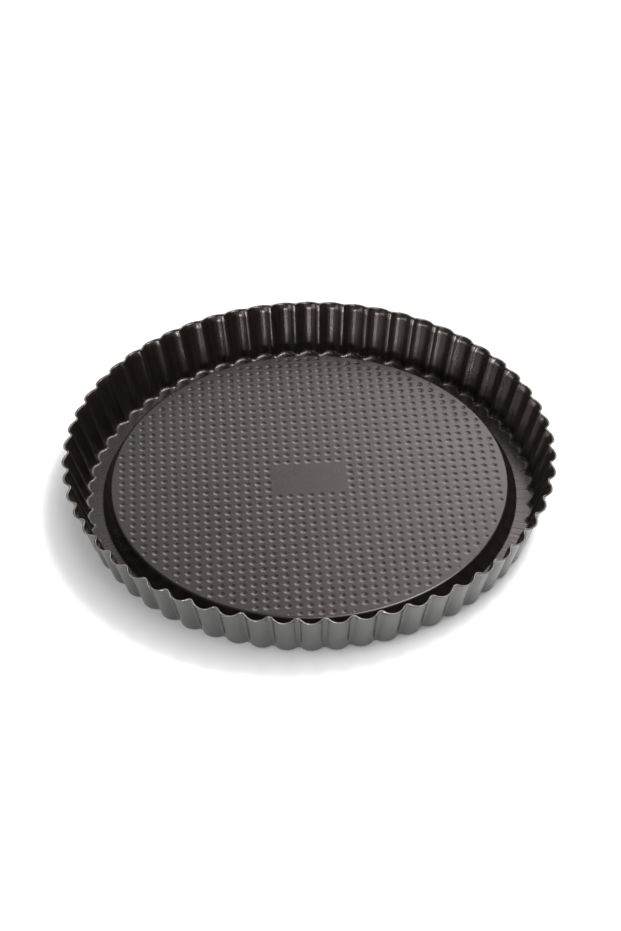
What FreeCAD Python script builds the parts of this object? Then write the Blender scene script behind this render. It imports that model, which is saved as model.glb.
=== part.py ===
"""Fluted flan tin with a raised centre, as the three layers of its one pressed sheet.

The tin is drawn from coil-coated steel, so it is a sandwich of an outer coating, the steel and a
non-stick lining, which all follow one section: a flat gutter that the tin stands on, a sloping step up
to the raised centre, and a slanted fluted wall with a small lip at its trimmed rim.
Millimetres, +Z up, origin at the centre of the face that the tin rests on. The lobes of the wall are
centred on the X axis and its ribs on the Y axis.
"""

import FreeCAD, Part
import Sketcher
import math
import os

from FreeCAD import Vector

DIMENSIONS = [
    # alias, value, what it is
    ("rim_lobe_radius", 150.0, "outer radius of the rim over the lobes"),
    ("rim_rib_radius", 146.7, "outer radius of the rim at the ribs"),
    ("rim_height", 35.0, "height of the rim at the ribs"),
    ("rim_dip", 1.5, "how much lower the rim is at the lobes"),
    ("lip_height", 4.2, "height of the flared lip under the rim"),
    ("wall_flare", 16.0, "slant of the wall from the vertical, degrees"),
    ("floor_lobe_radius", 135.7, "radius where the gutter's floor ends, at the lobes"),
    ("floor_rib_radius", 132.7, "radius where the gutter's floor ends, at the ribs"),
    ("corner_bend", 3.9, "outside radius of the bend from gutter to wall"),
    ("rib_bend", 2.4, "outside radius of a rib in plan"),
    ("flute_count", 58, "number of lobes, and of ribs"),
    ("join_radius", 130.5, "radius in the gutter where dish and wall meet"),
    ("foot_radius", 126.3, "radius of the step's foot at the underside, before its bend"),
    ("centre_height", 10.5, "rise of the centre above the gutter"),
    ("step_slope", 26.0, "slant of the step from the vertical, degrees"),
    ("foot_bend", 2.1, "radius at the underside of the bend at the step's foot"),
    ("edge_bend", 1.1, "radius at the underside of the bend at the centre's edge"),
    ("coating_thickness", 0.1, "thickness of each coating as drawn"),
    ("steel_thickness", 0.5, "thickness of the steel"),
]

# The faces of each layer, as how many coatings and how many steel sheets lie under them.
LAYERS = {
    "outer_coating": ((0, 0), (1, 0)),
    "steel_sheet": ((1, 0), (1, 1)),
    "nonstick_lining": ((1, 1), (2, 1)),
}

CORNER_STEPS = 2
EDGE_MATCH = 0.01


def make_sheet(doc):
    """The spreadsheet of driving dimensions."""
    sheet = doc.addObject("Spreadsheet::Sheet", "dimensions")
    for row, (alias, value, meaning) in enumerate(DIMENSIONS, start=1):
        sheet.set(f"A{row}", meaning)
        sheet.set(f"B{row}", str(value))
        sheet.setAlias(f"B{row}", alias)
    doc.recompute()
    return sheet


def depth_formula(level):
    """Expression for the height of a layer's face above the underside of the sheet."""
    coatings, sheets = level
    return f"({coatings} * dimensions.coating_thickness + {sheets} * dimensions.steel_thickness)"


def depth_value(sheet, level):
    coatings, sheets = level
    return coatings * sheet.coating_thickness + sheets * sheet.steel_thickness


# ---- dish: the gutter, the step and the raised centre, turned about Z ----


def dish_corners(low, high):
    """Corners of a layer's section as expressions for radius and height, before the bends."""
    lean = "tan((90 - dimensions.step_slope) / 2 * 1 deg)"
    run = "dimensions.centre_height * tan(dimensions.step_slope * 1 deg)"
    faces = []
    for level in (low, high):
        depth = depth_formula(level)
        foot = f"dimensions.foot_radius + {depth} * {lean}"
        faces.append(
            [
                ("0", f"dimensions.centre_height + {depth}"),
                (f"{foot} - {run}", f"dimensions.centre_height + {depth}"),
                (foot, depth),
                ("dimensions.join_radius", depth),
            ]
        )
    return faces[0] + faces[1][::-1]


def add_dish_sketch(body, name, corners):
    """Closed section in the XZ plane, each corner held by its two expressions."""
    sketch = body.newObject("Sketcher::SketchObject", name)
    plane = next(item for item in body.Origin.OriginFeatures if item.Role == "XZ_Plane")
    sketch.AttachmentSupport = (plane, [""])
    sketch.MapMode = "FlatFace"
    places = []
    for radius, height in corners:
        places.append(Vector(body.evalExpression(radius), body.evalExpression(height), 0))
    count = len(places)
    for index in range(count):
        sketch.addGeometry(Part.LineSegment(places[index], places[(index + 1) % count]), False)
    for index in range(count):
        sketch.addConstraint(Sketcher.Constraint("Coincident", index, 2, (index + 1) % count, 1))
    for index, (radius, height) in enumerate(corners):
        if radius == "0":
            sketch.addConstraint(Sketcher.Constraint("PointOnObject", index, 1, -2))
        else:
            across = Sketcher.Constraint("DistanceX", -1, 1, index, 1, places[index].x)
            sketch.setExpression(f"Constraints[{sketch.addConstraint(across)}]", radius)
        if places[index].y < EDGE_MATCH:
            sketch.addConstraint(Sketcher.Constraint("PointOnObject", index, 1, -1))
        else:
            up = Sketcher.Constraint("DistanceY", -1, 1, index, 1, places[index].y)
            sketch.setExpression(f"Constraints[{sketch.addConstraint(up)}]", height)
    return sketch


def circle_at(shape, radius, height):
    """Name of the shape's circular edge of this radius at this height."""
    for number, edge in enumerate(shape.Edges, start=1):
        curve = edge.Curve
        if not isinstance(curve, Part.Circle):
            continue
        if abs(curve.Radius - radius) < EDGE_MATCH and abs(curve.Center.z - height) < EDGE_MATCH:
            return f"Edge{number}"
    raise RuntimeError(f"no circle of radius {radius} at height {height}")


def add_bend(body, name, base, corner, radius):
    """Fillet on the circle that one corner of the section sweeps."""
    place = [body.evalExpression(formula) for formula in corner]
    bend = body.newObject("PartDesign::Fillet", name)
    bend.Base = (base, [circle_at(base.Shape, *place)])
    bend.setExpression("Radius", radius)
    body.Document.recompute()
    return bend


def make_dish(doc, name, low, high):
    """A layer's gutter, step and raised centre, as one turned body."""
    body = doc.addObject("PartDesign::Body", f"{name}_dish")
    corners = dish_corners(low, high)
    sketch = add_dish_sketch(body, f"{name}_section", corners)
    turned = body.newObject("PartDesign::Revolution", f"{name}_turned")
    turned.Profile = sketch
    turned.ReferenceAxis = (sketch, ["V_Axis"])
    turned.Angle = 360
    doc.recompute()
    low_depth = depth_formula(low)
    high_depth = depth_formula(high)
    bends = [
        ("edge_under", corners[1], f"dimensions.edge_bend + {low_depth}"),
        ("foot_under", corners[2], f"dimensions.foot_bend - {low_depth}"),
        ("foot_over", corners[5], f"dimensions.foot_bend - {high_depth}"),
        ("edge_over", corners[6], f"dimensions.edge_bend + {high_depth}"),
    ]
    feature = turned
    for label, corner, radius in bends:
        feature = add_bend(body, f"{name}_{label}", feature, corner, radius)
    body.Tip = feature
    doc.recompute()
    return body


# ---- wall: the fluted ring from the gutter's floor up to the rim ----


def wall_sections(sheet, depth):
    """Rings of one face of the wall, from the join outwards and upwards.

    Each ring is its inward shift from the outer lobe and rib radii at that level, those radii and the
    height. The depth is measured square to the sheet.
    """
    flare = math.radians(sheet.wall_flare)
    bend = sheet.corner_bend
    turn = math.pi / 2 - flare
    rings = []
    for step in range(CORNER_STEPS + 1):
        angle = turn * step / CORNER_STEPS
        out = bend * math.sin(angle)
        rise = bend * (1 - math.cos(angle))
        rings.append(
            {
                "lobe": sheet.floor_lobe_radius + out,
                "rib": sheet.floor_rib_radius + out,
                "shift": depth * math.sin(angle),
                "height": rise + depth * math.cos(angle),
                "dip": 0.0,
            }
        )
    foot = rings[-1]
    lip_base = sheet.rim_height - sheet.lip_height
    run = (lip_base - bend * (1 - math.cos(turn))) * math.tan(flare)
    lip_flare = math.atan2(sheet.rim_lobe_radius - foot["lobe"] - run, sheet.lip_height - sheet.rim_dip)
    mean = (flare + lip_flare) / 2
    rings.append(
        {
            "lobe": foot["lobe"] + run,
            "rib": foot["rib"] + run,
            "shift": depth * math.cos(mean),
            "height": lip_base + depth * math.sin(mean),
            "dip": 0.0,
        }
    )
    rings.append(
        {
            "lobe": sheet.rim_lobe_radius,
            "rib": sheet.rim_rib_radius,
            "shift": depth / math.cos(lip_flare),
            "height": sheet.rim_height,
            "dip": sheet.rim_dip,
        }
    )
    return rings


def polar(radius, angle, height):
    return Vector(radius * math.cos(angle), radius * math.sin(angle), height)


def fluted_edges(sheet, ring):
    """Arcs of one ring in turn: a lobe and a rib, tangent to each other, for every flute."""
    half = math.pi / sheet.flute_count
    shift = ring["shift"]
    lobe_top = ring["lobe"] - shift
    rib_top = ring["rib"] - shift
    rib_bend = sheet.rib_bend + shift
    rib_centre = rib_top + rib_bend
    reach = lobe_top**2 + rib_centre**2 - 2 * lobe_top * rib_centre * math.cos(half) - rib_bend**2
    lobe_bend = reach / (2 * (lobe_top - rib_centre * math.cos(half) + rib_bend))
    lobe_centre = Vector(lobe_top - lobe_bend, 0, 0)
    meeting = lobe_centre + (polar(rib_centre, half, 0) - lobe_centre).normalize() * lobe_bend
    meet_radius = math.hypot(meeting.x, meeting.y)
    meet_angle = math.atan2(meeting.y, meeting.x)
    high = ring["height"]
    meet_height = high - ring["dip"] * (meet_radius - rib_top) / (lobe_top - rib_top)
    edges = []
    for flute in range(int(sheet.flute_count)):
        middle = 2 * half * flute
        start = polar(meet_radius, middle - meet_angle, meet_height)
        crest = polar(lobe_top, middle, high - ring["dip"])
        turn = polar(meet_radius, middle + meet_angle, meet_height)
        valley = polar(rib_top, middle + half, high)
        end = polar(meet_radius, middle + 2 * half - meet_angle, meet_height)
        edges.append(Part.Arc(start, crest, turn).toShape())
        edges.append(Part.Arc(turn, valley, end).toShape())
    return edges


def ruled_strip(low_edges, high_edges):
    """Faces that join two rings arc by arc."""
    return [Part.makeRuledSurface(low, high) for low, high in zip(low_edges, high_edges)]


def ring_floor(edges, radius, height):
    """Flat face between a circle and the first ring of a face of the wall."""
    hole = Part.Wire(Part.makeCircle(radius, Vector(0, 0, height)))
    return Part.makeFace([Part.Wire(edges), hole], "Part::FaceMakerBullseye")


def make_wall(doc, sheet, name, low, high):
    """A layer's fluted wall, with the strip of gutter that carries it."""
    faces = []
    rims = []
    for level in (low, high):
        depth = depth_value(sheet, level)
        rings = [fluted_edges(sheet, ring) for ring in wall_sections(sheet, depth)]
        faces.append(ring_floor(rings[0], sheet.join_radius, depth))
        for lower, upper in zip(rings, rings[1:]):
            faces += ruled_strip(lower, upper)
        rims.append(rings[-1])
    faces += ruled_strip(*rims)
    low_depth = depth_value(sheet, low)
    height = depth_value(sheet, high) - low_depth
    collar = Part.makeCylinder(sheet.join_radius, height, Vector(0, 0, low_depth))
    faces.append(next(face for face in collar.Faces if isinstance(face.Surface, Part.Cylinder)))
    shell = Part.Shell(faces)
    shell.sewShape()
    solid = Part.Solid(shell)
    if solid.Volume < 0:
        solid.reverse()
    wall = doc.addObject("Part::Feature", f"{name}_wall")
    wall.Shape = solid
    return wall


def make_layer(doc, sheet, name, low, high):
    """One layer of the tin: its turned dish and its fluted wall as one piece."""
    dish = make_dish(doc, name, low, high)
    wall = make_wall(doc, sheet, name, low, high)
    layer = doc.addObject("Part::MultiFuse", name)
    layer.Shapes = [dish, wall]
    layer.Refine = True
    layer.Label = name
    doc.recompute()
    return layer


def check(doc, layers):
    """Stop if any object failed, or if a layer isn't one valid solid."""
    for item in doc.Objects:
        if "Invalid" in item.State or "Error" in item.State:
            raise RuntimeError(f"{item.Name} is {item.State}")
    for layer in layers:
        shape = layer.Shape
        if shape.isNull() or not shape.isValid() or len(shape.Solids) != 1:
            raise RuntimeError(f"{layer.Label} isn't one valid solid")


def main():
    doc = FreeCAD.newDocument("flan_tin")
    sheet = make_sheet(doc)
    layers = []
    for name, (low, high) in LAYERS.items():
        layers.append(make_layer(doc, sheet, name, low, high))
    check(doc, layers)
    os.makedirs("parts", exist_ok=True)
    for layer in layers:
        layer.Shape.exportStep(f"parts/{layer.Label}.step")
        box = layer.Shape.BoundBox
        print(f"{layer.Label}: {box.XLength:.2f} x {box.YLength:.2f} x {box.ZLength:.2f} mm")
        print(f"  volume {layer.Shape.Volume:.0f} mm3, faces {len(layer.Shape.Faces)}")


main()
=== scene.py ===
"""Looks of the fluted flan tin: its lining, steel and outer coating as detailed shells, lit by softboxes.

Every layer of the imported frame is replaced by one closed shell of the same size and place, with smooth
bends, the dents pressed through the raised centre and the trimmed steel edge. The dimensions are those
of the CAD source, in millimetres.
"""

import math

import bpy
import numpy as np
from mathutils import Matrix, Vector, geometry


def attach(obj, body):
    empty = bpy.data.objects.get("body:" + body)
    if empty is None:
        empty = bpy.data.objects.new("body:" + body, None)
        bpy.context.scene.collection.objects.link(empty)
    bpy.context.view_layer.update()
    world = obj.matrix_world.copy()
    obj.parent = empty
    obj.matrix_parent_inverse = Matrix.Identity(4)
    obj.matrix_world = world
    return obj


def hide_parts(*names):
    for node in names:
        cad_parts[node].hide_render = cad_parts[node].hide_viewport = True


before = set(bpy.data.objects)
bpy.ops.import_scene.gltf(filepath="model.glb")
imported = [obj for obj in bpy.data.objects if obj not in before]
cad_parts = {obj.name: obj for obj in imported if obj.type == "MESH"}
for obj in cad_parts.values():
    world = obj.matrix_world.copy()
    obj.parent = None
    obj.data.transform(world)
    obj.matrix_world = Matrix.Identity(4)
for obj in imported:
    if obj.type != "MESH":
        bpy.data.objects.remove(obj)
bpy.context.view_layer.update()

MM = 0.001

# ---- the tin's dimensions, as in the CAD source ----

RIM_LOBE_RADIUS = 150.0
RIM_RIB_RADIUS = 146.7
RIM_HEIGHT = 35.0
RIM_DIP = 1.5
LIP_HEIGHT = 4.2
WALL_FLARE = math.radians(16.0)
FLOOR_LOBE_RADIUS = 135.7
FLOOR_RIB_RADIUS = 132.7
CORNER_BEND = 3.9
RIB_BEND = 2.4
FLUTES = 58
FOOT_RADIUS = 126.3
CENTRE_HEIGHT = 10.5
STEP_SLOPE = math.radians(26.0)
FOOT_BEND = 2.1
EDGE_BEND = 1.1
COATING = 0.1
STEEL = 0.5
SHEET = 2 * COATING + STEEL

# Softening of the lip's bend, along the wall on each side of it.
LIP_SOFTNESS = 1.3

# Dents pressed into the centre on a square lattice, with a plain panel left out of it in the middle.
DENT_PITCH = 6.357
DENT_RADIUS = 2.55
DENT_DEPTH = 0.42
DENT_SPREAD = 0.3
DENT_REACH = 119.2
DENT_MARGIN = 0.15
PANEL_COLUMNS = 3
PANEL_ROWS = 2

# ---- how finely each part of a shell is divided ----

LOBE_STEPS = 10
RIB_STEPS = 6
# The dish has one step for this many of the wall's.
FAN = 4
DISH_STEPS = FLUTES * (LOBE_STEPS + RIB_STEPS) // FAN
APRON_RADIUS = 131.3
APRON_WIDTH = 1.2
SEEN = {
    "wall": {"corner": 6, "wall": 4, "bend": 4, "lip": 2},
    "dish": {"foot": 6, "edge": 6},
    "dent": {"around": 12, "rings": (1.0, 0.72, 0.42)},
}
HIDDEN = {
    "wall": {"corner": 3, "wall": 1, "bend": 2, "lip": 1},
    "dish": {"foot": 3, "edge": 3},
    "dent": {"around": 8, "rings": (1.0, 0.5)},
}
WALL_PARTS = ("corner", "wall", "bend", "lip")
SHARP_ANGLE = math.radians(50)

# Step along a face for its normals, in places.
NUDGE = 1e-4

# Points midway between the dents stay inside the dents' reach by a share of the pitch, and outside every
# dent by a share of its radius.
MIDWAY_MARGIN = 0.2
MIDWAY_GAP = 1.1

# The flat's triangles: when two points are one, how far a point may come out from its place, how many are
# tested at a time, and how far inside a dent's outline a triangle's middle may lie and still be kept.
MERGE_DISTANCE = 1e-6
PLACE_TOLERANCE = 1e-4
TEST_BLOCK = 2000
OUTLINE_SLACK = 0.98


# ---- wall: rings of tangent arcs, from the gutter's floor to the rim ----
# A ring is (lobe radius, rib radius, inward shift, height, dip at the lobes).


def corner_ring(share, depth):
    """Ring in the bend from the gutter to the wall, with share from 0 at the floor to 1 at the wall."""
    angle = (math.pi / 2 - WALL_FLARE) * share
    out = CORNER_BEND * math.sin(angle)
    rise = CORNER_BEND * (1 - math.cos(angle))
    return np.array(
        [
            FLOOR_LOBE_RADIUS + out,
            FLOOR_RIB_RADIUS + out,
            depth * math.sin(angle),
            rise + depth * math.cos(angle),
            0.0,
        ]
    )


def upper_rings(depth):
    """Rings at the wall's foot, at the lip's bend and at the rim."""
    foot = corner_ring(1.0, depth)
    lip_base = RIM_HEIGHT - LIP_HEIGHT
    rise = CORNER_BEND * (1 - math.sin(WALL_FLARE))
    run = (lip_base - rise) * math.tan(WALL_FLARE)
    lip_flare = math.atan2(RIM_LOBE_RADIUS - foot[0] - run, LIP_HEIGHT - RIM_DIP)
    mean = (WALL_FLARE + lip_flare) / 2
    bend = np.array(
        [
            foot[0] + run,
            foot[1] + run,
            depth * math.cos(mean),
            lip_base + depth * math.sin(mean),
            0.0,
        ]
    )
    rim = np.array(
        [RIM_LOBE_RADIUS, RIM_RIB_RADIUS, depth / math.cos(lip_flare), RIM_HEIGHT, RIM_DIP]
    )
    return foot, bend, rim


def wall_ring(place, depth):
    """Ring at a place from 0 to 4, with a length of 1 for each of the wall's parts."""
    if place <= 1:
        return corner_ring(place, depth)
    foot, bend, rim = upper_rings(depth)
    before = bend + (foot - bend) * LIP_SOFTNESS / abs(foot[3] - bend[3])
    after = bend + (rim - bend) * LIP_SOFTNESS / abs(rim[3] - bend[3])
    if place <= 2:
        return foot + (before - foot) * (place - 1)
    if place <= 3:
        share = place - 2
        return before * (1 - share) ** 2 + bend * 2 * share * (1 - share) + after * share**2
    return after + (rim - after) * (place - 3)


def ring_points(ring, places):
    """Points of a ring. Each flute takes a length of 2 in places: its lobe, then the rib after it."""
    lobe_radius, rib_radius, shift, height, dip = ring
    half = math.pi / FLUTES
    lobe_top, rib_top, rib_bend = lobe_radius - shift, rib_radius - shift, RIB_BEND + shift
    rib_centre = rib_top + rib_bend
    reach = lobe_top**2 + rib_centre**2 - 2 * lobe_top * rib_centre * math.cos(half) - rib_bend**2
    lobe_bend = reach / (2 * (lobe_top - rib_centre * math.cos(half) + rib_bend))
    lobe_centre = lobe_top - lobe_bend
    rib_x, rib_y = rib_centre * math.cos(half), rib_centre * math.sin(half)
    spread = math.atan2(rib_y, rib_x - lobe_centre)
    back = spread + math.pi - half
    flute = np.floor(places / 2)
    part = places - 2 * flute
    on_lobe = part <= 1
    lobe_angle = spread * (2 * part - 1)
    rib_angle = half + back - (part - 1) * 2 * (back - math.pi)
    x = np.where(on_lobe, lobe_centre + lobe_bend * np.cos(lobe_angle), rib_x + rib_bend * np.cos(rib_angle))
    y = np.where(on_lobe, lobe_bend * np.sin(lobe_angle), rib_y + rib_bend * np.sin(rib_angle))
    turn = 2 * half * flute
    radius = np.hypot(x, y)
    z = height - dip * (radius - rib_top) / (lobe_top - rib_top)
    return np.stack(
        [x * np.cos(turn) - y * np.sin(turn), x * np.sin(turn) + y * np.cos(turn), z], axis=1
    )


def flute_places():
    """Where the points of a ring lie: evenly along each lobe, then evenly along each rib."""
    lobe = np.arange(LOBE_STEPS) / LOBE_STEPS
    rib = 1 + np.arange(RIB_STEPS) / RIB_STEPS
    one = np.concatenate([lobe, rib])
    return (one[None, :] + 2 * np.arange(FLUTES)[:, None]).ravel()


def wall_rows(detail):
    """Places of the wall's rows, from the gutter's floor to the rim."""
    rows = [0.0]
    for part, name in enumerate(WALL_PARTS):
        count = detail[name]
        rows += [part + step / count for step in range(1, count + 1)]
    return rows


def wall_row(place, depth, upward):
    """Points of one row of a face of the wall, and its normals towards the inside or the outside."""
    places = flute_places()
    points = ring_points(wall_ring(place, depth), places)
    along = ring_points(wall_ring(place, depth), places + NUDGE)
    along -= ring_points(wall_ring(place, depth), places - NUDGE)
    low, high = max(place - NUDGE, 0.0), min(place + NUDGE, len(WALL_PARTS))
    across = ring_points(wall_ring(high, depth), places) - ring_points(wall_ring(low, depth), places)
    normals = np.cross(across, along)
    normals /= np.linalg.norm(normals, axis=1)[:, None]
    return points, normals if upward else -normals


# ---- dish: the step and the raised centre ----


def turned(bearings, radius, height):
    """Points at these bearings on a circle about the axis."""
    return np.column_stack([radius * np.cos(bearings), radius * np.sin(bearings), bearings * 0 + height])


def dish_rows(depth, detail):
    """Radius, height and normal of each circle from the gutter to the flat of the centre."""
    turn = math.pi / 2 - STEP_SLOPE
    lean = math.tan(turn / 2)
    foot = FOOT_RADIUS + depth * lean
    top = foot - CENTRE_HEIGHT * math.tan(STEP_SLOPE)
    foot_bend, edge_bend = FOOT_BEND - depth, EDGE_BEND + depth
    rows = []
    for step in range(detail["foot"] + 1):
        angle = turn * step / detail["foot"]
        radius = foot + foot_bend * lean - foot_bend * math.sin(angle)
        rows.append((radius, depth + foot_bend * (1 - math.cos(angle)), angle))
    for step in range(detail["edge"], -1, -1):
        angle = turn * step / detail["edge"]
        radius = top - edge_bend * lean + edge_bend * math.sin(angle)
        rows.append((radius, CENTRE_HEIGHT + depth - edge_bend * (1 - math.cos(angle)), angle))
    return rows


def dent_sites():
    """Centres of the dents, without the plain panel in the middle."""
    reach = int(DENT_REACH / DENT_PITCH) + 1
    sites = []
    for column in range(-reach, reach + 1):
        for row in range(-reach, reach):
            x, y = column * DENT_PITCH, (row + 0.5) * DENT_PITCH
            in_panel = abs(column) <= PANEL_COLUMNS and -PANEL_ROWS <= row < PANEL_ROWS
            if math.hypot(x, y) <= DENT_REACH and not in_panel:
                sites.append((x, y))
    return np.array(sites)


def centre_flat(rim, detail, sites, radii):
    """Triangles of the flat between the dents, and its points, with the rim's points first."""
    angles = 2 * math.pi * (np.arange(detail["around"]) + 0.5) / detail["around"]
    circle = np.stack([np.cos(angles), np.sin(angles)], axis=1)
    hoops = (sites[:, None, :] + circle[None, :, :] * radii[:, None, None]).reshape(-1, 2)
    reach = int(DENT_REACH / DENT_PITCH) + 1
    steps = np.arange(-reach, reach + 1)
    corners = np.stack(np.meshgrid(steps + 0.5, steps), axis=-1).reshape(-1, 2) * DENT_PITCH
    corners = corners[np.hypot(*corners.T) < DENT_REACH - MIDWAY_MARGIN * DENT_PITCH]
    gaps = np.min(np.linalg.norm(corners[:, None, :] - sites[None, :, :], axis=2), axis=1)
    corners = corners[gaps > radii.max() * MIDWAY_GAP]
    points = np.concatenate([rim, hoops, corners])
    count, around = len(rim), detail["around"]
    edges = [(index, (index + 1) % count) for index in range(count)]
    for dent in range(len(sites)):
        first = count + dent * around
        edges += [(first + step, first + (step + 1) % around) for step in range(around)]
    flat = [Vector(point) for point in points.tolist()]
    found = geometry.delaunay_2d_cdt(flat, edges, [], 1, MERGE_DISTANCE)
    placed = np.array([tuple(point) for point in found[0]])
    triangles = np.array([face for face in found[2] if len(face) == 3])
    if len(placed) != len(points) or np.abs(placed - points).max() > PLACE_TOLERANCE:
        raise RuntimeError("the flat of the centre came out with other points")
    middles = placed[triangles].mean(axis=1)
    blocks = np.array_split(middles, max(1, len(middles) // TEST_BLOCK))
    outside = np.concatenate(
        [
            (np.linalg.norm(block[:, None, :] - sites[None, :, :], axis=2) / radii).min(axis=1)
            for block in blocks
        ]
    )
    triangles = triangles[outside > math.cos(math.pi / around) * OUTLINE_SLACK]
    first, second, third = (placed[triangles[:, corner]] for corner in range(3))
    side, other = second - first, third - first
    downward = side[:, 0] * other[:, 1] - side[:, 1] * other[:, 0] < 0
    triangles[downward] = triangles[downward][:, ::-1]
    return points, triangles


# ---- a shell's mesh ----


class Shell:
    """Points, normals and faces of a layer's mesh, gathered surface by surface."""

    def __init__(self):
        self.points = []
        self.normals = []
        self.faces = []
        self.count = 0

    def add_points(self, points, normals):
        self.points.append(np.asarray(points, float))
        self.normals.append(np.asarray(normals, float))
        first = self.count
        self.count += len(points)
        return np.arange(first, self.count)

    def add_faces(self, faces, upward):
        faces = np.asarray(faces)
        self.faces += (faces if upward else faces[:, ::-1]).tolist()

    def strip(self, inner, outer, upward):
        """Quads between two rings of as many points."""
        faces = np.stack([inner, outer, np.roll(outer, -1), np.roll(inner, -1)], axis=1)
        self.add_faces(faces, upward)

    def fan_strip(self, inner, outer, upward):
        """Triangles between a ring and one around it, which has four points for each of its own."""
        after = np.roll(inner, -1)
        fine = [outer[step::FAN] for step in range(FAN)] + [np.roll(outer, -FAN)[::FAN]]
        faces = []
        for coarse, left, right in (
            (inner, fine[0], fine[1]),
            (inner, fine[1], fine[2]),
            (after, fine[2], fine[3]),
            (after, fine[3], fine[4]),
        ):
            faces.append(np.stack([coarse, left, right], axis=1))
        faces.append(np.stack([inner, fine[2], after], axis=1))
        self.add_faces(np.concatenate(faces), upward)

    def object(self, name):
        """The finished mesh object, in metres."""
        mesh = bpy.data.meshes.new(name)
        points = np.concatenate(self.points) * MM
        mesh.from_pydata(points.tolist(), [], self.faces)
        mesh.validate()
        mesh.shade_smooth()
        mesh.set_sharp_from_angle(angle=SHARP_ANGLE)
        mesh.normals_split_custom_set_from_vertices(np.concatenate(self.normals).tolist())
        piece = bpy.data.objects.new(name, mesh)
        bpy.context.scene.collection.objects.link(piece)
        return piece


def add_surface(shell, depth, upward, detail):
    """One face of a layer, from the rim to the middle. Returns the rim's points."""
    rows = [wall_row(place, depth, upward) for place in wall_rows(detail["wall"])]
    rings = [shell.add_points(points, normals) for points, normals in rows[:-1]]
    rim_points = rows[-1][0]
    rim = shell.add_points(rim_points, rim_points * 0)
    rings.append(rim)
    for inner, outer in zip(rings, rings[1:]):
        shell.strip(inner, outer, upward)
    up = np.array([0.0, 0.0, 1.0 if upward else -1.0])
    circles = dish_rows(depth, detail["dish"])
    azimuths = np.arctan2(rows[0][0][:, 1], rows[0][0][:, 0])
    apron = shell.add_points(turned(azimuths, APRON_RADIUS, depth), np.tile(up, (len(azimuths), 1)))
    shell.strip(apron, rings[0], upward)
    bearings = azimuths[0] + 2 * math.pi * np.arange(DISH_STEPS) / DISH_STEPS
    rings = []
    for radius, height, angle in [(APRON_RADIUS - APRON_WIDTH, depth, 0.0)] + circles:
        normals = turned(bearings, math.sin(angle), math.cos(angle)) * up[2]
        rings.append(shell.add_points(turned(bearings, radius, height), normals))
    shell.fan_strip(rings[0], apron, upward)
    for outer, inner in zip(rings, rings[1:]):
        shell.strip(inner, outer, upward)
    add_centre(shell, depth, upward, rings[-1], turned(bearings, circles[-1][0], 0)[:, :2], detail["dent"])
    return rim


def add_centre(shell, depth, upward, edge, edge_points, detail):
    """The raised centre's flat with its dents, inside the ring of points edge."""
    radius = DENT_RADIUS + (SHEET - depth) * DENT_SPREAD
    sites = dent_sites()
    room = np.hypot(*edge_points[0]) - DENT_MARGIN - np.linalg.norm(sites, axis=1)
    radii = np.minimum(radius, room)
    points, triangles = centre_flat(edge_points, detail, sites, radii)
    level = CENTRE_HEIGHT + depth
    sign = 1.0 if upward else -1.0
    extra = points[len(edge) :]
    flat = shell.add_points(
        np.column_stack([extra, np.full(len(extra), level)]), np.tile([0.0, 0.0, sign], (len(extra), 1))
    )
    index = np.concatenate([edge, flat])
    shell.add_faces(index[triangles], upward)
    around = detail["around"]
    angles = 2 * math.pi * (np.arange(around) + 0.5) / around
    circle = np.stack([np.cos(angles), np.sin(angles)], axis=1)
    outer = flat[: len(sites) * around].reshape(len(sites), around)
    depths = DENT_DEPTH * radii / radius
    for share in detail["rings"][1:]:
        drops = depths * (0.5 + 0.5 * math.cos(math.pi * share))
        slope = DENT_DEPTH * math.pi / (2 * radius) * math.sin(math.pi * share)
        places = (sites[:, None, :] + circle[None] * radii[:, None, None] * share).reshape(-1, 2)
        normals = np.tile(np.column_stack([-circle * slope, np.ones(around)]), (len(sites), 1))
        normals *= sign / math.hypot(1, slope)
        inner = shell.add_points(np.column_stack([places, level - np.repeat(drops, around)]), normals)
        inner = inner.reshape(len(sites), around)
        faces = np.stack([inner, outer, np.roll(outer, -1, axis=1), np.roll(inner, -1, axis=1)], axis=2)
        shell.add_faces(faces.reshape(-1, 4), upward)
        outer = inner
    bottoms = shell.add_points(
        np.column_stack([sites, level - depths]),
        np.tile([0.0, 0.0, sign], (len(sites), 1)),
    )
    centre = np.repeat(bottoms[:, None], around, axis=1)
    faces = np.stack([centre, outer, np.roll(outer, -1, axis=1)], axis=2)
    shell.add_faces(faces.reshape(-1, 3), upward)


def make_layer(name, low, high, under, over):
    """A layer as one closed shell between two depths of the sheet, cut off square at the rim."""
    shell = Shell()
    outer_rim = add_surface(shell, low, False, under)
    inner_rim = add_surface(shell, high, True, over)
    shell.strip(inner_rim, outer_rim, True)
    return shell.object(name)


coat = make_layer("outer_coat_shell", 0.0, COATING, SEEN, HIDDEN)
steel = make_layer("steel_shell", COATING, COATING + STEEL, HIDDEN, HIDDEN)
lining = make_layer("lining_shell", COATING + STEEL, SHEET, HIDDEN, SEEN)
for piece, node, slot in (
    (coat, "outer_coating", "outer_coating"),
    (steel, "steel_sheet", "bare_steel"),
    (lining, "nonstick_lining", "nonstick_lining"),
):
    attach(piece, "root")
    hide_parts(node)


# ---- materials ----


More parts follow.
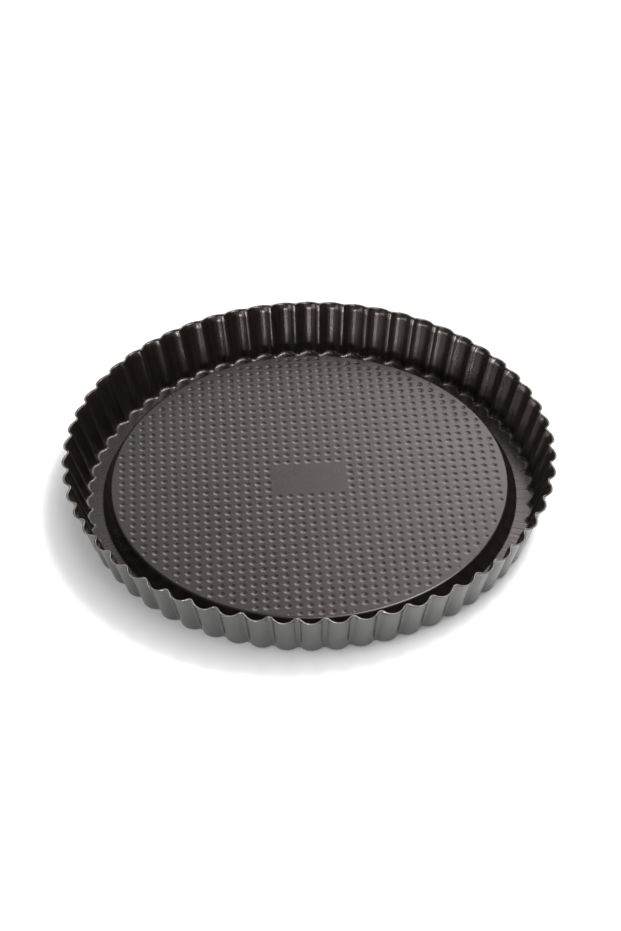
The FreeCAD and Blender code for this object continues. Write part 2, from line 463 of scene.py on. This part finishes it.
class Finish:
    """A material and its nodes, with short ways to add and join them."""

    def __init__(self, name):
        self.material = bpy.data.materials.new(name)
        self.material.use_nodes = True
        self.tree = self.material.node_tree
        self.tree.nodes.clear()
        output = self.add("OutputMaterial")
        self.shader = self.add("BsdfPrincipled")
        self.tree.links.new(self.shader.outputs[0], output.inputs[0])
        self.place = self.add("TexCoord").outputs["Object"]
        split = self.add("SeparateXYZ")
        self.join(self.place, split, 0)
        self.x, self.y, self.z = split.outputs
        across, along = self.math("MULTIPLY", self.x, self.x), self.math("MULTIPLY", self.y, self.y)
        self.radius = self.math("SQRT", self.math("ADD", across, along))

    def add(self, kind, **settings):
        node = self.tree.nodes.new("ShaderNode" + kind)
        for key, value in settings.items():
            setattr(node, key, value)
        return node

    def join(self, source, node, socket):
        self.tree.links.new(source, node.inputs[socket])

    def noise(self, vector, scale, detail=3.0, roughness=0.5):
        """Noise whose features are about 1 / scale metres across."""
        node = self.add("TexNoise")
        self.join(vector, node, "Vector")
        node.inputs["Scale"].default_value = scale
        node.inputs["Detail"].default_value = detail
        node.inputs["Roughness"].default_value = roughness
        return node.outputs["Fac"]

    def between(self, value, low, high, to_low, to_high):
        """value mapped from low..high to to_low..to_high, and held there."""
        node = self.add("MapRange")
        self.join(value, node, "Value")
        for socket, number in zip(node.inputs[1:5], (low, high, to_low, to_high)):
            socket.default_value = number
        return node.outputs["Result"]

    def math(self, operation, *values):
        node = self.add("Math", operation=operation)
        for socket, value in zip(node.inputs, values):
            if isinstance(value, (int, float)):
                socket.default_value = value
            else:
                self.tree.links.new(value, socket)
        return node.outputs[0]

    def round_the_axis(self, around, up, out):
        """Coordinates that run round the axis, up and outwards, each at its own scale."""
        joined = self.add("CombineXYZ")
        rise = self.math("ADD", self.math("MULTIPLY", self.z, up), self.math("MULTIPLY", self.radius, out))
        for value, socket in (
            (self.math("MULTIPLY", self.math("DIVIDE", self.x, self.radius), around), 0),
            (self.math("MULTIPLY", self.math("DIVIDE", self.y, self.radius), around), 1),
            (rise, 2),
        ):
            self.join(value, joined, socket)
        return joined.outputs[0]

    def colours(self, value, stops):
        """Colour ramp through (place, colour) stops."""
        node = self.add("ValToRGB")
        ramp = node.color_ramp
        while len(ramp.elements) < len(stops):
            ramp.elements.new(0.5)
        for element, (place, colour) in zip(ramp.elements, stops):
            element.position = place
            element.color = (*colour, 1.0)
        self.join(value, node, 0)
        return node.outputs[0]

    def bump(self, height, distance, before=None):
        node = self.add("Bump")
        node.inputs["Strength"].default_value = 1.0
        node.inputs["Distance"].default_value = distance
        self.join(height, node, "Height")
        if before is not None:
            self.join(before, node, "Normal")
        return node.outputs[0]

    def paint(self, **inputs):
        for name, value in inputs.items():
            socket = self.shader.inputs[name.replace("_", " ")]
            if isinstance(value, bpy.types.NodeSocket):
                self.tree.links.new(value, socket)
            else:
                socket.default_value = value


# Marks in a coating. Scales are features per metre, and those with three numbers run round the axis, up
# and outwards; heights and radii are in metres.
CLOUD_SCALE = 24.0
SPECK_SCALE = 1400.0
PEEL_SCALE = 800.0
PEEL_HEIGHT = 0.000025
STREAK_SCALES = (90.0, 6.0, 6.0)
TURNED_SCALES = (2.0, 900.0, 900.0)
TURNED_HEIGHT = 0.000006
DRAWN_FROM, DRAWN_TO = 0.121, 0.127
CLOUD_SHARE, SPECK_SHARE, STREAK_SHARE = 0.6, 0.4, 0.25
SMOOTHER, ROUGHER = 0.04, 0.05


def coating_finish(name, dark, light, gloss, shine, index, roughness, ripple):
    """Baked-on coating: fine orange peel, draw marks round the gutter and up the wall, cloudy gloss."""
    finish = Finish(name)
    clouds = finish.noise(finish.place, CLOUD_SCALE, 5.0, 0.6)
    specks = finish.noise(finish.place, SPECK_SCALE, 2.0)
    drawn = finish.between(finish.radius, DRAWN_FROM, DRAWN_TO, 0.0, 1.0)
    marks = finish.noise(finish.round_the_axis(*STREAK_SCALES), 1.0, 4.0)
    turned_marks = finish.noise(finish.round_the_axis(*TURNED_SCALES), 1.0, 4.0)
    streaks = finish.math("MULTIPLY", finish.between(marks, 0.3, 0.7, -0.5, 0.5), drawn)
    mixed = finish.math("MULTIPLY", clouds, CLOUD_SHARE)
    mixed = finish.math("ADD", mixed, finish.math("MULTIPLY", specks, SPECK_SHARE))
    mixed = finish.math("ADD", mixed, finish.math("MULTIPLY", streaks, STREAK_SHARE))
    finish.paint(Base_Color=finish.colours(mixed, ((0.35, dark), (0.65, light))))
    finish.paint(Roughness=finish.between(mixed, 0.3, 0.7, roughness - SMOOTHER, roughness + ROUGHER))
    peel = finish.noise(finish.place, PEEL_SCALE, 3.0)
    normal = finish.bump(peel, PEEL_HEIGHT)
    normal = finish.bump(streaks, ripple, normal)
    normal = finish.bump(finish.math("MULTIPLY", turned_marks, drawn), TURNED_HEIGHT, normal)
    finish.paint(Normal=normal, Specular_Tint=(*gloss, 1.0), Specular_IOR_Level=shine, IOR=index)
    return finish


lining_finish = coating_finish(
    "nonstick_lining_coat",
    dark=(0.0050, 0.0036, 0.0026),
    light=(0.0090, 0.0068, 0.0054),
    gloss=(1.0, 0.885, 0.87),
    shine=0.65,
    index=1.5,
    roughness=0.29,
    ripple=0.00008,
)
coat_finish = coating_finish(
    "outer_coat_paint",
    dark=(0.0155, 0.0153, 0.0150),
    light=(0.0235, 0.0231, 0.0227),
    gloss=(1.0, 1.0, 0.98),
    shine=0.6,
    index=1.9,
    roughness=0.22,
    ripple=0.00001,
)
GRAIN_SCALES = (40.0, 900.0, 900.0)
STEEL_DARK = (0.15, 0.14, 0.13)
STEEL_LIGHT = (0.26, 0.245, 0.23)
steel_finish = Finish("cut_steel")
grain = steel_finish.noise(steel_finish.round_the_axis(*GRAIN_SCALES), 1.0, 4.0)
steel_finish.paint(Base_Color=steel_finish.colours(grain, ((0.3, STEEL_DARK), (0.7, STEEL_LIGHT))))
steel_finish.paint(Roughness=steel_finish.between(grain, 0.3, 0.7, 0.38, 0.52), Metallic=1.0)
for piece, finish in ((lining, lining_finish), (coat, coat_finish), (steel, steel_finish)):
    piece.data.materials.append(finish.material)


# ---- floor, lights and camera ----

# The floor ends where it is still lit to plain white, so that its edge doesn't show against the room.
FLOOR_SIZE = 1.4
bpy.ops.mesh.primitive_plane_add(size=FLOOR_SIZE)
floor = bpy.context.object
floor.name = "floor"
PAPER_DARK = (0.9, 0.9, 0.9)
PAPER_LIGHT = (0.92, 0.92, 0.92)
floor_finish = Finish("floor_paper")
floor_finish.paint(Roughness=0.9, Specular_IOR_Level=0.1)
paper = floor_finish.noise(floor_finish.place, 3.0)
floor_finish.paint(Base_Color=floor_finish.colours(paper, ((0.0, PAPER_DARK), (1.0, PAPER_LIGHT))))
floor.data.materials.append(floor_finish.material)

# The room is dim, and the camera sees it as white.
ROOM_COLOUR = (1.0, 0.98, 0.96, 1.0)
ROOM_STRENGTH = 0.03
WHITE = (1.0, 1.0, 1.0, 1.0)
world = bpy.data.worlds.new("studio")
bpy.context.scene.world = world
world.use_nodes = True
world_nodes = world.node_tree.nodes
dim = world_nodes["Background"]
dim.inputs["Color"].default_value = ROOM_COLOUR
dim.inputs["Strength"].default_value = ROOM_STRENGTH
pale = world_nodes.new("ShaderNodeBackground")
pale.inputs["Color"].default_value = WHITE
seen = world_nodes.new("ShaderNodeMixShader")
path = world_nodes.new("ShaderNodeLightPath")
world.node_tree.links.new(path.outputs["Is Camera Ray"], seen.inputs[0])
world.node_tree.links.new(dim.outputs[0], seen.inputs[1])
world.node_tree.links.new(pale.outputs[0], seen.inputs[2])
world.node_tree.links.new(seen.outputs[0], world_nodes["World Output"].inputs[0])

LIGHT_DISTANCE = 2.2


def add_softbox(name, azimuth, elevation, width, height, brightness):
    """Soft light aimed at the tin. Its bearing runs clockwise from behind the tin; sizes are in degrees."""
    across = 2 * LIGHT_DISTANCE * math.tan(math.radians(width) / 2)
    upright = 2 * LIGHT_DISTANCE * math.tan(math.radians(height) / 2)
    data = bpy.data.lights.new(name, "AREA")
    data.shape = "RECTANGLE"
    data.size, data.size_y = across, upright
    data.energy = brightness * math.pi * across * upright
    lamp = bpy.data.objects.new(name, data)
    bpy.context.scene.collection.objects.link(lamp)
    bearing, rise = math.radians(azimuth), math.radians(elevation)
    away = Vector((math.sin(bearing) * math.cos(rise), math.cos(bearing) * math.cos(rise), math.sin(rise)))
    lamp.location = away * LIGHT_DISTANCE
    lamp.rotation_mode = "QUATERNION"
    lamp.rotation_quaternion = away.to_track_quat("Z", "Y")
    lamp.visible_camera = False
    return lamp


SOFTBOXES = {
    # bearing, elevation, width, height in degrees, brightness
    "back_low": (8, 22, 34, 20, 2.9),
    "back_mid": (358, 43, 34, 18, 0.95),
    "back_right": (26, 36, 28, 20, 3.7),
    "back_left": (325, 32, 26, 20, 1.3),
    "key": (66, 66, 12, 12, 28.0),
    "key_soft": (74, 62, 34, 28, 3.7),
    "front_fill": (142, 71, 36, 20, 6.4),
    "front_low": (198, 9, 11, 10, 60.0),
    "left_low": (244, 14, 48, 18, 5.0),
    "front_soft": (186, 33, 44, 22, 0.7),
    "top_soft": (0, 84, 44, 44, 0.4),
}
for name, settings in SOFTBOXES.items():
    add_softbox(name, *settings)

# The camera stands above and in front of the tin, a long way off for its size. Its distance and offsets
# are multiples of RIM_CIRCLE, which is about the radius of the rim's ribs.
RIM_CIRCLE = 0.1466
SENSOR_WIDTH = 36.0
CLIP_START, CLIP_END = 0.05, 50.0
CAMERA_LENS = 91.6
CAMERA_ELEVATION = math.radians(41.0)
CAMERA_ROLL = math.radians(-0.8)
CAMERA_BEARING = math.radians(-3.13)
CAMERA_DISTANCE = 9.809 * RIM_CIRCLE
CAMERA_ASIDE = -0.0055 * RIM_CIRCLE
CAMERA_LIFT = 0.0698 * RIM_CIRCLE


def add_camera():
    """The scene's camera, turned about the tin's axis by its bearing."""
    data = bpy.data.cameras.new("camera")
    data.sensor_width = SENSOR_WIDTH
    data.lens = CAMERA_LENS
    data.clip_start, data.clip_end = CLIP_START, CLIP_END
    camera = bpy.data.objects.new("camera", data)
    bpy.context.scene.collection.objects.link(camera)
    right = Vector((1, 0, 0))
    ahead = Vector((0, math.cos(CAMERA_ELEVATION), -math.sin(CAMERA_ELEVATION)))
    up = Vector((0, math.sin(CAMERA_ELEVATION), math.cos(CAMERA_ELEVATION)))
    place = -ahead * CAMERA_DISTANCE - right * CAMERA_ASIDE - up * CAMERA_LIFT
    across = right * math.cos(CAMERA_ROLL) + up * math.sin(CAMERA_ROLL)
    upright = up * math.cos(CAMERA_ROLL) - right * math.sin(CAMERA_ROLL)
    spin = Matrix.Rotation(CAMERA_BEARING, 3, "Z")
    axes = Matrix((spin @ across, spin @ upright, spin @ -ahead)).transposed()
    camera.matrix_world = Matrix.Translation(spin @ place + Vector((0, 0, RIM_HEIGHT * MM))) @ axes.to_4x4()
    bpy.context.scene.camera = camera


add_camera()
bpy.context.scene.view_settings.view_transform = "Standard"
